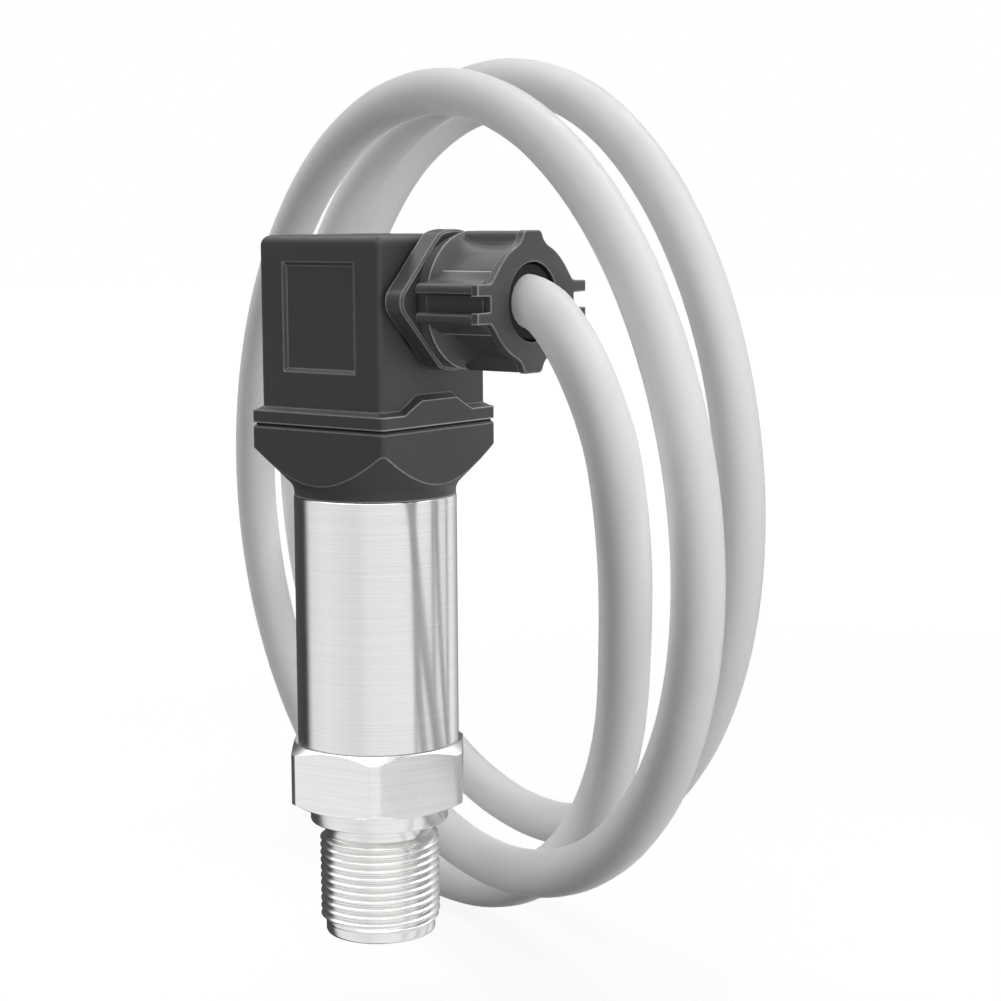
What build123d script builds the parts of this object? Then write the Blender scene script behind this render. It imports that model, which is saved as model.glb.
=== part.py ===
from build123d import *
import math
import os

# A pressure transmitter: a turned stainless fitting that screws into a port, a stainless sleeve over the
# electronics, and a black angled plug whose grey cable leaves through a ribbed gland nut in loose turns.
# Millimetres. The origin is on the axis at the lower end of the thread, +Z runs up the body, and the cable
# leaves along +X. The -Y face of the plug carries a sunk panel.

# Process fitting, heights counted from the thread's lower end
THREAD_R = 10.0            # M20 x 1.5, outside radius
THREAD_LENGTH = 14.4
THREAD_LEAD_IN = 0.85
PILOT_R = 9.15
PILOT_LENGTH = 2.2
UNDERCUT_R = 8.9
COLLAR_R = 11.5
COLLAR_BOTTOM = 17.1
HEX_FLATS = 28.0
HEX_BOTTOM = 20.2
HEX_TOP = 30.6
HEX_CORNER_ANGLE = 8.1     # one corner of the hexagon, from +X
HEX_CHAMFER_R = 13.9
HEX_CHAMFER_ANGLE = 30.0
PORT_R = 3.0
PORT_DEPTH = 9.0
CHANNEL_R = 1.5
CELL_SEAT = 24.5           # floor of the pocket that holds the sensing cell
CELL_POCKET_R = 9.75
SPIGOT_R = 12.15           # turned seat inside the sleeve
SPIGOT_TOP = 36.0

# Sleeve
SLEEVE_R = 13.4
SLEEVE_BORE_R = 12.2
SLEEVE_TOP = 71.8
SLEEVE_EDGE = 0.35

# Sensing cell and its parts
CELL_R = 9.5
CELL_HEIGHT = 6.0
CELL_SEAL_R = 7.0
SEAL_HALF = 0.75           # half of both O-rings' section once squeezed
RING_HEIGHT = 3.5
RING_BORE_R = 6.5

# Electronics
HOLDER_R = 11.9
HOLDER_PLATE = 2.0
BOARD_WIDTH = 18.0
BOARD_THICKNESS = 1.6
BOARD_BOTTOM = SPIGOT_TOP + HOLDER_PLATE
BOARD_TOP = 60.0
LEAD_R = 0.5

# Connector base
BASE_NECK_R = 13.3
BASE_HALF = 14.2           # half the square flange
BASE_CORNER_R = 0.9
BASE_TOP = 83.4
BASE_SPIGOT_R = 12.15
BASE_SPIGOT_BOTTOM = 64.5
BASE_BORE_R = 9.8
BASE_CEILING = 76.0
CONE_START = 73.3          # where the 45 degree cone would leave the neck
CONE_BLEND_R = 2.5
SEAL_GROOVE_Z = 68.0
SEAL_GROOVE_R = 10.7

# Plug contacts
PIN_SPACING = 9.0          # centre of a blade from the axis
PIN_WIDTH = 4.8
PIN_THICKNESS = 0.8
PIN_BOTTOM = 72.5
PIN_TOP = 93.0
EARTH_WIDTH = 6.3

# Flange gasket and plug housing
GASKET = 0.45
FOOT_BOTTOM = BASE_TOP + GASKET
FOOT_TOP = 85.9
PLUG_TOP = 114.1
PLUG_HALF_X = 12.9
PLUG_HALF_Y = 13.15
PLUG_CORNER_R = 1.0
PLUG_TOP_R = 1.6
PLUG_WALL = 1.8
CAVITY_TOP = 108.0
FOOT_RISE = 0.6            # slope from the foot's edge up to the wall
ARCH_TOP = 88.0            # of the arch on the foot's +X side
ARCH_FOOT = (-8.8, 8.0)    # where it leaves the foot, in y
ARCH_FLAT = (-4.6, 4.0)    # where its top is level
ARCH_RISE = 0.9            # slope from the arch's edge up to the wall
PANEL_WIDTH = 15.4
PANEL_HEIGHT = 17.6
PANEL_MID_X = 0.0
PANEL_MID_Z = 101.1
PANEL_DEPTH = 0.5
PANEL_SLOPE = 0.6

# Fixing screw, M3
SCREW_R = 1.45
SCREW_HOLE_R = 1.5
SCREW_HEAD_R = 2.8
SCREW_HEAD = 2.4
SCREW_WELL_R = 3.5
SCREW_WELL_DEPTH = 3.4
SCREW_WASHER = 0.8
SCREW_GAP = 0.03
SCREW_BOTTOM = 77.0

# Terminal block in the plug
BLOCK_HALF = 10.6
BLOCK_CHAMFER = 2.5
BLOCK_BOTTOM = BASE_TOP
BLOCK_TOP = 97.5
SOCKET_DEPTH = 10.5
TERMINAL_R = 6.4           # terminal screws, from the axis
TERMINAL_SCREW_R = 1.9
WIRE_HOLE_OFFSET = 3.0
WIRE_HOLE_DEPTH = 2.0

# Cable gland, on a line along +X
GLAND_Z = 103.8
GLAND_SEAL_R = 9.6
COLLAR_BACK = 14.1
COLLAR_FRONT = 17.5
COLLAR_SIDE = 20.2         # square collar that stands on its corner
COLLAR_CORNER_R = 2.7
COLLAR_TOP_R = 11.15       # its upper and lower corners are turned off to this
COLLAR_EDGE = 0.4
INNER_STUB = 11.0
STUB_R = 8.0
STUB_END = 28.4
GLAND_BORE_R = 4.9
SEAL_SEAT_R = 6.4
SEAL_SEAT_X = 21.0
SEAL_FRONT = 26.3
CLAMP_FLANGE = 29.0        # back of the clamp ring's flange
NUT_BACK = 17.65
NUT_FRONT = 32.9
NUT_BACK_R = 10.0          # the round skirt widens from here
NUT_CREASE_X = 20.5        # to here
NUT_CREASE_R = 10.9
NUT_LOBE_BACK = 21.4
NUT_RIB_BACK = 20.4
NUT_CORE_R = 9.1
NUT_PLATE = 1.2            # front plate, a little larger than the body
NUT_STEP = 0.5             # by how much it is larger
NUT_WEB = 2.7              # thickness of the front wall
NUT_MOUTH_R = 6.15
LOBE_REACH = 11.0
LOBE_HALF = 1.9
NUT_FLANK = [(2.6, 10.2), (3.3, 9.0), (4.9, 8.2), (6.9, 6.9), (8.6, 5.2), (10.3, 3.1)]
RIB_REACH = 13.7
RIB_LOW = 1.25             # each rib from here
RIB_HIGH = 3.0             # to here, above and below the middle
RIB_FLOOR = 10.5
NUT_CLEARANCE = 0.05

# Cable
CABLE_R = 4.1
CORE_R = 0.85
WIRE_R = 0.7
CABLE_START = 20.5

# Route of the cable from the gland to its first turn, chosen by eye
CABLE_LEAD = [(CABLE_START, 0.0, GLAND_Z), (34.0, 0.0, GLAND_Z), (45.5, -4.5, 98.0),
              (52.5, -7.5, 87.0), (54.5, -7.0, 73.5)]

# The loose turns: an ellipse that is drawn clockwise, seen from the front, while its middle, size and tilt
# change slowly. Each row gives the value at the start and after each further 0.92 of a turn.
TURNS = 2.5625
POINTS_PER_TURN = 16
TURNS_PER_VALUE = 0.92
COIL_HEADING = -24.8       # direction of the turns' plane, from +X
COIL_MID_ACROSS = (-44.0, -19.5, -48.0, -70.0)
COIL_MID_HEIGHT = (58.5, 71.5, 70.0, 77.5)
COIL_HALF_WIDTH = (91.0, 79.5, 82.5, 70.5)
COIL_HALF_HEIGHT = (79.0, 69.0, 74.0, 75.5)
COIL_SKEW = (38.0, -14.0, -6.0, -17.5)
COIL_BEHIND = (12.5, 31.0, 37.0, 95.0)
COIL_SIDE_TILT = (8.0, -5.5, 4.0, 38.5)
COIL_UP_TILT = (-29.5, 0.5, 14.5, 3.5)

# Last stretch of the cable, chosen by eye to end behind the other turns
CABLE_END = [(-92.7, 114.7, 126.6), (-80.7, 118.4, 138.1), (-67.2, 120.7, 142.6), (-55.5, 122.1, 141.6)]

# Bare cores at the loose end
END_CORE_LENGTH = 15.0
END_DROOP = 4.5
FERRULE_LENGTH = 6.0
FERRULE_R = 1.1


def tube_z(outer, inner, bottom, top):
    """A ring about the Z axis between two heights."""
    ring = Pos(0, 0, bottom) * extrude(Circle(outer) - Circle(inner), top - bottom)
    return ring


def rod_z(radius, bottom, top):
    return Pos(0, 0, bottom) * extrude(Circle(radius), top - bottom)


def lathe_z(points):
    """Turns a closed outline of (radius, height) points about the Z axis."""
    face = make_face(Plane.XZ * Polyline(*points, close=True))
    return revolve(face, Axis.Z)


def along_gland(sketch, start, end):
    """Pulls a sketch, drawn as (y, z) about the gland's axis, from one x to another."""
    plane = Plane(origin=(start, 0, GLAND_Z), x_dir=(0, 1, 0), z_dir=(1, 0, 0))
    return extrude(plane * sketch, end - start)


def rod_x(radius, start, end):
    return along_gland(Circle(radius), start, end)


def rounded_square(half_x, half_y, corner):
    return RectangleRounded(2 * half_x, 2 * half_y, corner)


def hex_body(flats, corner_angle, bottom, top):
    """A hexagonal prism with the corners turned off at both ends."""
    prism = Pos(0, 0, bottom) * extrude(Rot(0, 0, corner_angle) * RegularPolygon(
        flats / 2, 6, major_radius=False), top - bottom)
    reach = flats / 2 / math.cos(math.radians(30)) + 0.5
    drop = (reach - HEX_CHAMFER_R) * math.tan(math.radians(HEX_CHAMFER_ANGLE))
    turned = lathe_z([(0, bottom), (HEX_CHAMFER_R, bottom), (reach, bottom + drop),
                      (reach, top - drop), (HEX_CHAMFER_R, top), (0, top)])
    return prism & turned


def process_fitting():
    hexagon = hex_body(HEX_FLATS, HEX_CORNER_ANGLE, HEX_BOTTOM, HEX_TOP)
    shank = lathe_z([
        (0, -PILOT_LENGTH), (PILOT_R - 0.4, -PILOT_LENGTH), (PILOT_R, -PILOT_LENGTH + 0.4),
        (PILOT_R, -THREAD_LEAD_IN), (THREAD_R, 0), (THREAD_R, THREAD_LENGTH),
        (UNDERCUT_R, THREAD_LENGTH + 0.6), (UNDERCUT_R, COLLAR_BOTTOM),
        (COLLAR_R, COLLAR_BOTTOM), (COLLAR_R, HEX_BOTTOM), (COLLAR_R, HEX_TOP),
        (SPIGOT_R, HEX_TOP), (SPIGOT_R, SPIGOT_TOP), (0, SPIGOT_TOP)])
    body = hexagon + shank
    body -= rod_z(PORT_R, -PILOT_LENGTH, PORT_DEPTH - PILOT_LENGTH)
    body -= rod_z(CHANNEL_R, 0, CELL_SEAT)
    body -= rod_z(CELL_POCKET_R, CELL_SEAT, SPIGOT_TOP)
    return body


def sleeve():
    outline = [(SLEEVE_BORE_R, HEX_TOP), (SLEEVE_R, HEX_TOP), (SLEEVE_R, SLEEVE_TOP - SLEEVE_EDGE),
               (SLEEVE_R - SLEEVE_EDGE, SLEEVE_TOP), (SLEEVE_BORE_R, SLEEVE_TOP)]
    return lathe_z(outline)


def o_ring(ring_r, height):
    """A squeezed O-ring, drawn with eight flats."""
    half, flat = SEAL_HALF, SEAL_HALF * math.tan(math.radians(22.5))
    corners = [(half, -flat), (half, flat), (flat, half), (-flat, half),
               (-half, flat), (-half, -flat), (-flat, -half), (flat, -half)]
    return lathe_z([(ring_r + r, height + z) for r, z in corners])


CELL_BOTTOM = CELL_SEAT + 2 * SEAL_HALF


def sensing_cell():
    """Ceramic disc with a shallow pocket under it, so that its underside is the thin diaphragm's rim."""
    disc = rod_z(CELL_R, CELL_BOTTOM, CELL_BOTTOM + CELL_HEIGHT)
    slots = [Pos(x, 0, CELL_BOTTOM + CELL_HEIGHT / 2) * Box(1.2, 2.4, CELL_HEIGHT) for x in (-CELL_R, CELL_R)]
    pocket = rod_z(4.5, CELL_BOTTOM, CELL_BOTTOM + 0.4)
    for cut in slots:
        disc -= cut
    return disc - pocket


def cell_ring():
    bottom = CELL_BOTTOM + CELL_HEIGHT
    ring = tube_z(CELL_POCKET_R - 0.03, RING_BORE_R, bottom, bottom + RING_HEIGHT)
    slot = Pos(0, 0, bottom + RING_HEIGHT) * Box(2.2, 2 * CELL_POCKET_R + 2, 2.4)
    return ring - slot


def board_holder():
    """Round plate with two grooved posts that carry the board's edges."""
    holder = tube_z(HOLDER_R, 3.0, SPIGOT_TOP, BOARD_BOTTOM)
    for side in (-1, 1):
        post = Pos(side * (BOARD_WIDTH / 2 + 0.4), 0, (BOARD_BOTTOM + BOARD_TOP) / 2 - 3) * Box(
            2.4, 4.6, BOARD_TOP - BOARD_BOTTOM - 6)
        groove = Pos(side * (BOARD_WIDTH / 2 - 0.4), 0, (BOARD_BOTTOM + BOARD_TOP) / 2) * Box(
            0.9, BOARD_THICKNESS + 0.1, BOARD_TOP - BOARD_BOTTOM)
        holder += post - groove
    return holder


def circuit_board():
    mid = (BOARD_BOTTOM + BOARD_TOP) / 2
    return Pos(0, 0, mid) * Box(BOARD_WIDTH - 0.1, BOARD_THICKNESS, BOARD_TOP - BOARD_BOTTOM)


def board_parts():
    """The amplifier's chip, two small chips and a row of can capacitors on the board's faces."""
    face = BOARD_THICKNESS / 2
    chips = [(0.0, 10.5, 7.0, 7.0, 1.2), (-4.5, 17.5, 4.0, 3.0, 1.0), (4.0, 17.5, 3.0, 4.0, 1.0)]
    solids = [Pos(x, -face - t / 2, BOARD_BOTTOM + z) * Box(w, t, h) for x, z, w, h, t in chips]
    for x in (-4.5, 0.0, 4.5):
        solids.append(Pos(x, face, BOARD_BOTTOM + 7) * Rot(-90, 0, 0) * extrude(Circle(1.8), 4.5))
    return solids


def bent_wire(points, section):
    """A round wire of straight runs with mitred corners."""
    start = Vector(*points[0])
    plane = Plane(origin=start, z_dir=Vector(*points[1]) - start)
    return sweep(plane * Circle(section), path=Polyline(*points), transition=Transition.RIGHT)


def cell_leads():
    bottom = CELL_BOTTOM + CELL_HEIGHT
    board_y = -BOARD_THICKNESS / 2 - LEAD_R
    solids = []
    for x in (-1.6, 0.0, 1.6):
        points = [(x, 0, bottom), (x, 0, bottom + 2), (x, board_y, bottom + 4.5),
                  (x, board_y, BOARD_BOTTOM + 4)]
        solids.append(bent_wire(points, LEAD_R))
    return solids


def base_leads():
    """Three wires from the top of the board to the lower ends of the narrow blades."""
    board_y = BOARD_THICKNESS / 2 + LEAD_R
    solids = []
    for start, end in (((-5.5, -board_y), (-PIN_SPACING, 0)), ((0, board_y), (0, PIN_SPACING)),
                       ((0, -board_y), (0, -PIN_SPACING))):
        points = [(*start, BOARD_TOP - 1.5), (*start, BOARD_TOP + 4), (*end, PIN_BOTTOM - 4),
                  (*end, PIN_BOTTOM)]
        solids.append(bent_wire(points, LEAD_R))
    return solids


def base_outline():
    """Half section of the base: spigot with its ring groove, neck, blend and cone."""
    top_r = BASE_HALF * math.sqrt(2) + 1.0
    blend = CONE_BLEND_R * math.tan(math.radians(22.5))
    cone_top = CONE_START + (top_r - BASE_NECK_R)
    slope = blend * math.cos(math.radians(45))
    arc_start, arc_end = (BASE_NECK_R, CONE_START - blend), (BASE_NECK_R + slope, CONE_START + slope)
    lower = Polyline((0, BASE_SPIGOT_BOTTOM), (BASE_SPIGOT_R, BASE_SPIGOT_BOTTOM),
                     (BASE_SPIGOT_R, SEAL_GROOVE_Z - 1.0), (SEAL_GROOVE_R, SEAL_GROOVE_Z - 1.0),
                     (SEAL_GROOVE_R, SEAL_GROOVE_Z + 1.0), (BASE_SPIGOT_R, SEAL_GROOVE_Z + 1.0),
                     (BASE_SPIGOT_R, SLEEVE_TOP), (BASE_NECK_R, SLEEVE_TOP), arc_start)
    arc = TangentArc(arc_start, arc_end, tangent=(0, 1))
    upper = Polyline(arc_end, (top_r, cone_top), (top_r, BASE_TOP), (0, BASE_TOP), (0, BASE_SPIGOT_BOTTOM))
    return make_face(Plane.XZ * (Curve() + [lower, arc, upper]))


def connector_base():
    turned = revolve(base_outline(), Axis.Z)
    square = Pos(0, 0, BASE_SPIGOT_BOTTOM) * extrude(
        rounded_square(BASE_HALF, BASE_HALF, BASE_CORNER_R), BASE_TOP - BASE_SPIGOT_BOTTOM)
    body = turned & square
    top_edges = body.edges().filter_by_position(Axis.Z, BASE_TOP, BASE_TOP)
    body = chamfer(top_edges, 0.3)
    body -= rod_z(BASE_BORE_R, BASE_SPIGOT_BOTTOM, BASE_CEILING)
    body -= rod_z(SCREW_HOLE_R, BASE_CEILING, BASE_TOP)
    for place, width in contact_places():
        body -= place * Box(PIN_THICKNESS, width, 40)
    return body


def contact_places():
    """The four blades round the axis: where each stands, its flat faces to the axis, and its width."""
    spots = []
    for angle, width in ((90, PIN_WIDTH), (180, PIN_WIDTH), (270, PIN_WIDTH), (0, EARTH_WIDTH)):
        spots.append((Rot(0, 0, angle) * Pos(PIN_SPACING, 0, 85), width))
    return spots


def blade(place, width):
    height = PIN_TOP - PIN_BOTTOM
    flat = place * Pos(0, 0, PIN_BOTTOM + height / 2 - 85) * Box(PIN_THICKNESS, width, height)
    return chamfer(flat.edges().group_by(Axis.Z)[-1], 0.3)


def base_pins():
    return [blade(place, width) for place, width in contact_places()[:3]]


def earth_pin():
    return blade(*contact_places()[3])


def flange_gasket():
    outer = rounded_square(BASE_HALF - 0.35, BASE_HALF - 0.35, BASE_CORNER_R)
    inner = rounded_square(10.9, 10.9, 1.0)
    return Pos(0, 0, BASE_TOP) * extrude(outer - inner, GASKET)


def arch_face(x, grow):
    """The arch's outline at one x, drawn in y and z and grown by a rise towards the wall."""
    plane = Plane(origin=(x, 0, 0), x_dir=(0, 1, 0), z_dir=(1, 0, 0))
    low = FOOT_BOTTOM + 0.5
    left, right = ARCH_FOOT[0] - grow, ARCH_FOOT[1] + grow
    corners = Polyline((left - 2, low), (left, FOOT_TOP), (ARCH_FLAT[0], ARCH_TOP + grow),
                       (ARCH_FLAT[1], ARCH_TOP + grow), (right, FOOT_TOP), (right + 2, low), close=True)
    return plane * make_face(corners)


def foot():
    """The square foot, with a slope up to the walls and the arch on the +X side."""
    slab = Pos(0, 0, FOOT_BOTTOM) * extrude(
        rounded_square(BASE_HALF, BASE_HALF, BASE_CORNER_R), FOOT_TOP - FOOT_BOTTOM)
    slope = loft([Pos(0, 0, FOOT_TOP) * rounded_square(BASE_HALF - 0.25, BASE_HALF - 0.25, BASE_CORNER_R),
                  Pos(0, 0, FOOT_TOP + FOOT_RISE) * rounded_square(PLUG_HALF_X, PLUG_HALF_Y, BASE_CORNER_R)])
    arch = loft([arch_face(BASE_HALF, 0.0), arch_face(PLUG_HALF_X - 0.2, ARCH_RISE)], ruled=True)
    return slab + slope + arch


def panel_recess():
    """The sunk panel of the -Y face, with sloping sides."""
    face_y = -PLUG_HALF_Y
    outer = Plane(origin=(PANEL_MID_X, face_y, PANEL_MID_Z), x_dir=(1, 0, 0), z_dir=(0, -1, 0))
    return extrude(outer * Rectangle(PANEL_WIDTH, PANEL_HEIGHT), -PANEL_DEPTH,
                   taper=math.degrees(math.atan(PANEL_SLOPE / PANEL_DEPTH)))


def plug_housing():
    walls = Pos(0, 0, FOOT_BOTTOM) * extrude(
        rounded_square(PLUG_HALF_X, PLUG_HALF_Y, PLUG_CORNER_R), PLUG_TOP - FOOT_BOTTOM)
    walls = fillet(walls.edges().filter_by_position(Axis.Z, PLUG_TOP, PLUG_TOP), PLUG_TOP_R)
    body = walls + foot()
    body -= Pos(0, 0, FOOT_BOTTOM) * extrude(rounded_square(
        PLUG_HALF_X - PLUG_WALL, PLUG_HALF_Y - PLUG_WALL, 0.8), CAVITY_TOP - FOOT_BOTTOM)
    body -= panel_recess()
    body -= rod_z(SCREW_WELL_R, PLUG_TOP - SCREW_WELL_DEPTH, PLUG_TOP)
    body -= rod_z(SCREW_HOLE_R + 0.2, CAVITY_TOP, PLUG_TOP)
    body -= rod_x(7.65, 8.0, PLUG_HALF_X + 1)
    return body


def terminal_block():
    outline = Pos(0, 0, BLOCK_BOTTOM) * extrude(
        Rectangle(2 * BLOCK_HALF, 2 * BLOCK_HALF), BLOCK_TOP - BLOCK_BOTTOM)
    block = chamfer(outline.edges().filter_by(Axis.Z), BLOCK_CHAMFER)
    block -= rod_z(SCREW_HOLE_R + 0.2, BLOCK_BOTTOM, BLOCK_TOP)
    for place, width in contact_places():
        block -= place * Pos(0, 0, BLOCK_BOTTOM + SOCKET_DEPTH / 2 - 85) * Box(2.6, width + 0.8, SOCKET_DEPTH)
        block -= place * Pos(TERMINAL_R - PIN_SPACING, 0, BLOCK_TOP - 2.0 - 85) * extrude(
            Circle(TERMINAL_SCREW_R + 0.1), 4.0)
    for x, y in wire_ends():
        block -= Pos(x, y, 0) * rod_z(WIRE_R + 0.05, BLOCK_TOP - WIRE_HOLE_DEPTH, BLOCK_TOP)
    return block


def wire_ends():
    """Where the three wires enter the terminal block, beside the screws at the back, left and right."""
    return [(-TERMINAL_R, -WIRE_HOLE_OFFSET), (WIRE_HOLE_OFFSET, -TERMINAL_R),
            (-WIRE_HOLE_OFFSET, TERMINAL_R)]


def plug_sockets():
    """Spring clips that take the blades: a folded strip on both faces of each blade."""
    clips = []
    for place, width in contact_places():
        outer = place * Pos(0, 0, BLOCK_BOTTOM + SOCKET_DEPTH / 2 - 85) * Box(2.4, width + 0.4, SOCKET_DEPTH)
        inner = place * Pos(0, 0, BLOCK_BOTTOM + SOCKET_DEPTH / 2 - 85.5) * Box(
            PIN_THICKNESS, width + 1.0, SOCKET_DEPTH)
        clips.append(outer - inner)
    return clips


def terminal_screws():
    screws = []
    for place, width in contact_places():
        spot = place * Pos(TERMINAL_R - PIN_SPACING, 0, BLOCK_TOP - 2.0 - 85)
        slot = spot * Pos(0, 0, 3.0) * Box(0.6, 2 * TERMINAL_SCREW_R + 1, 1.6)
        screws.append(spot * extrude(Circle(TERMINAL_SCREW_R), 3.0) - slot)
    return screws


SCREW_SEAT = PLUG_TOP - SCREW_WELL_DEPTH


def fixing_screw():
    head_bottom = SCREW_SEAT + SCREW_WASHER + SCREW_GAP
    head = rod_z(SCREW_HEAD_R, head_bottom, head_bottom + SCREW_HEAD)
    head = chamfer(head.edges().group_by(Axis.Z)[-1], 0.4)
    shank = rod_z(SCREW_R, SCREW_BOTTOM, head_bottom)
    slot = Pos(0, 0, head_bottom + SCREW_HEAD) * Rot(0, 0, 35) * Box(0.8, 2 * SCREW_HEAD_R + 1, 2.0)
    return head + shank - slot


def screw_seal():
    return tube_z(SCREW_WELL_R - 0.15, SCREW_R + 0.1, SCREW_SEAT, SCREW_SEAT + SCREW_WASHER)


def gland_body_seal():
    return along_gland(Circle(GLAND_SEAL_R) - Circle(7.7), PLUG_HALF_X, COLLAR_BACK)


def gland_body():
    """Collar standing on its corner, a stub into the housing and the threaded stub that the nut turns on."""
    diamond = Rot(0, 0, 45) * rounded_square(COLLAR_SIDE / 2, COLLAR_SIDE / 2, COLLAR_CORNER_R)
    diamond = diamond & (Circle(COLLAR_TOP_R) + Rectangle(2 * COLLAR_SIDE, 12))
    collar = along_gland(diamond, COLLAR_BACK, COLLAR_FRONT)
    collar = chamfer(collar.edges().group_by(Axis.X)[-1], COLLAR_EDGE)
    body = collar + rod_x(7.6, INNER_STUB, COLLAR_BACK) + rod_x(STUB_R, COLLAR_FRONT, STUB_END)
    body -= rod_x(GLAND_BORE_R, INNER_STUB, STUB_END)
    body -= rod_x(SEAL_SEAT_R, SEAL_SEAT_X, STUB_END)
    return body


def gland_seal():
    return along_gland(Circle(SEAL_SEAT_R) - Circle(CABLE_R), SEAL_SEAT_X, SEAL_FRONT)


def clamp_ring():
    """Flanged ring that the nut presses on the seal."""
    ring = rod_x(SEAL_SEAT_R - 0.05, SEAL_FRONT, CLAMP_FLANGE)
    ring += rod_x(STUB_R - 0.3, CLAMP_FLANGE, NUT_FRONT - NUT_WEB - NUT_CLEARANCE)
    return ring - rod_x(CABLE_R + 0.6, SEAL_FRONT, NUT_FRONT)


def nut_face(step):
    """The nut from the front, with a lobe above and below and two ribs a side, made smaller by a step."""
    reach, floor = RIB_REACH - step / 2, RIB_FLOOR - step
    low, high = RIB_LOW + step / 5, RIB_HIGH - step / 5
    lobe = (LOBE_HALF - step / 2, LOBE_REACH - step / 3)
    flank = [(y * (1 - step / math.hypot(y, z)), z * (1 - step / math.hypot(y, z))) for y, z in NUT_FLANK]
    root = (flank[-1][0], high)
    quarter = Curve() + [
        Line((0, lobe[1]), lobe), Spline(lobe, *flank[:-1], root), Line(root, (reach, high)),
        Line((reach, high), (reach, low)), Line((reach, low), (floor, low)), Line((floor, low), (floor, 0))]
    half = quarter + mirror(quarter, Plane.YZ)
    return make_face(half + mirror(half, Plane.XZ))


def nut_ribs(start, end):
    bars = Sketch()
    for side in (1, -1):
        for sign in (1, -1):
            bars += Pos(side * RIB_REACH / 2, sign * (RIB_LOW + RIB_HIGH) / 2) * Rectangle(
                RIB_REACH - 0.5, RIB_HIGH - RIB_LOW - 0.2)
    return along_gland(bars, start, end)


def gland_nut():
    plate = NUT_FRONT - NUT_PLATE
    front = NUT_LOBE_BACK + 0.6
    skirt = Pos(0, 0, GLAND_Z) * Rot(0, 90, 0) * lathe_z([
        (0, NUT_BACK), (NUT_BACK_R, NUT_BACK), (NUT_CREASE_R, NUT_CREASE_X), (NUT_CORE_R, front), (0, front)])
    body = skirt + rod_x(NUT_CORE_R, NUT_BACK, plate) + nut_ribs(NUT_RIB_BACK, plate)
    body += along_gland(nut_face(NUT_STEP), NUT_LOBE_BACK, plate)
    body += along_gland(nut_face(0.0), plate, NUT_FRONT)
    body -= rod_x(STUB_R + NUT_CLEARANCE, NUT_BACK - 1, NUT_FRONT - NUT_WEB)
    body -= rod_x(NUT_MOUTH_R, NUT_BACK, NUT_FRONT + 1)
    return body


def wire_cores():
    """Three cores from the jacket's end in the gland, past the fixing screw, to the terminal block."""
    past_screw = {0: [(0.0, -3.4)], 1: [], 2: []}
    solids = []
    for core, (x, y) in enumerate(wire_ends()):
        angle = math.radians(90 + 120 * core)
        core_y = 1.5 * math.cos(angle)
        core_z = GLAND_Z + 1.5 * math.sin(angle)
        middle = [(px, py, core_z) for px, py in past_screw[core]]
        points = [(CABLE_START, core_y, core_z), (9.0, core_y, core_z), *middle, (x, y, core_z - 1.5),
                  (x, y, BLOCK_TOP - WIRE_HOLE_DEPTH)]
        solids.append(bent_wire(points, WIRE_R))
    return solids


def coil_value(values, turn):
    """The value of one row of the coil at a place counted in turns, eased from one value to the next."""
    place = turn / TURNS_PER_VALUE
    index = min(int(place), len(values) - 2)
    part = place - index
    eased = (part + part * part * (3 - 2 * part)) / 2
    return values[index] * (1 - eased) + values[index + 1] * eased


def coil_points():
    heading = math.radians(COIL_HEADING)
    points = []
    for step in range(round(TURNS * POINTS_PER_TURN) + 1):
        turn = step / POINTS_PER_TURN
        c, s = math.cos(2 * math.pi * turn), -math.sin(2 * math.pi * turn)
        across = (coil_value(COIL_MID_ACROSS, turn) + coil_value(COIL_HALF_WIDTH, turn) * c
                  + coil_value(COIL_SKEW, turn) * s)
        behind = (coil_value(COIL_BEHIND, turn) + coil_value(COIL_SIDE_TILT, turn) * c
                  + coil_value(COIL_UP_TILT, turn) * s)
        height = coil_value(COIL_MID_HEIGHT, turn) + coil_value(COIL_HALF_HEIGHT, turn) * s
        points.append((across * math.cos(heading) - behind * math.sin(heading),
                       across * math.sin(heading) + behind * math.cos(heading), height))
    return points


def corner_radii(points):
    """The largest even arc at each corner: 0.45 of the shorter run over the tangent of half the turn."""
    radii = []
    for before, here, after in zip(points, points[1:], points[2:]):
        a, b = Vector(*here) - Vector(*before), Vector(*after) - Vector(*here)
        radii.append(0.45 * min(a.length, b.length) / math.tan(math.radians(a.get_angle(b) / 2)))
    return radii


def cable_tube(path, start, direction):
    return sweep(Plane(origin=start, z_dir=direction) * Circle(CABLE_R), path=path)


def cable_parts():
    """The whole cable as one line of runs and tangent arcs, cut into the lead and the turns."""
    points = CABLE_LEAD + coil_points() + CABLE_END
    radii = corner_radii(points)
    print("cable corner radii", [round(r, 1) for r in radii])
    line = FilletPolyline(*points, radius=radii)
    edges = line.edges()
    split = 2 * (len(CABLE_LEAD) - 1) + 1
    lengths, solids = [], []
    for group in (edges[:split], edges[split:]):
        wire = Wire(group)
        solids.append(cable_tube(wire, wire @ 0, wire % 0))
        lengths.append(wire.length)
        print("cable stretch", round(wire.length, 1), "mm, volume over section times length",
              round(solids[-1].volume / (math.pi * CABLE_R ** 2 * wire.length), 4))
    print("cable length", round(sum(lengths), 1), "lowest radius", round(min(radii), 1))
    return solids[0], solids[1], line @ 1, line % 1


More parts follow.
